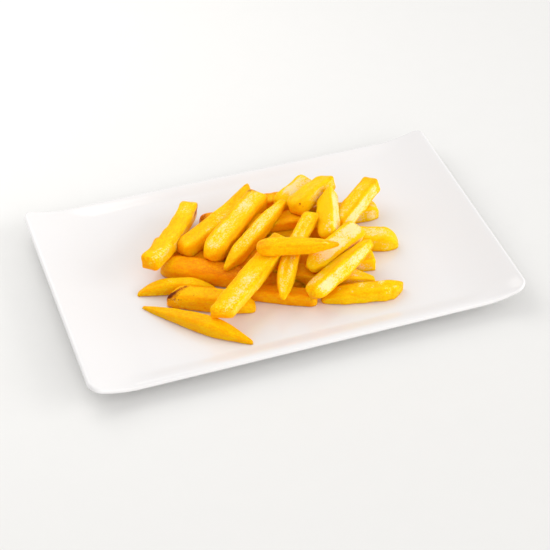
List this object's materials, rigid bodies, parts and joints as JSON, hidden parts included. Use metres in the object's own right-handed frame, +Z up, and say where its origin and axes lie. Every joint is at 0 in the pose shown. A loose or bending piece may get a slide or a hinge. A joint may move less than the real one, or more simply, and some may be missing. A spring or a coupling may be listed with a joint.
{
  "type": "french fries on a plate",
  "caption": "Heaped portion of thick-cut golden potato fries, crossed and leaning on one another, on a long white rectangular plate with softly upturned ends.",
  "frame": {"origin": "on the table, under the centre of the plate", "axes": "+X along the plate's length, +Y along its width, +Z up"},
  "size_m": [0.3, 0.183, 0.0476],
  "materials": {
    "porcelain": "gloss",
    "potato": "satin"
  },
  "bodies": {
    "root": {"plate": "porcelain", "fries": "potato"}
  },
  "joints": []
}
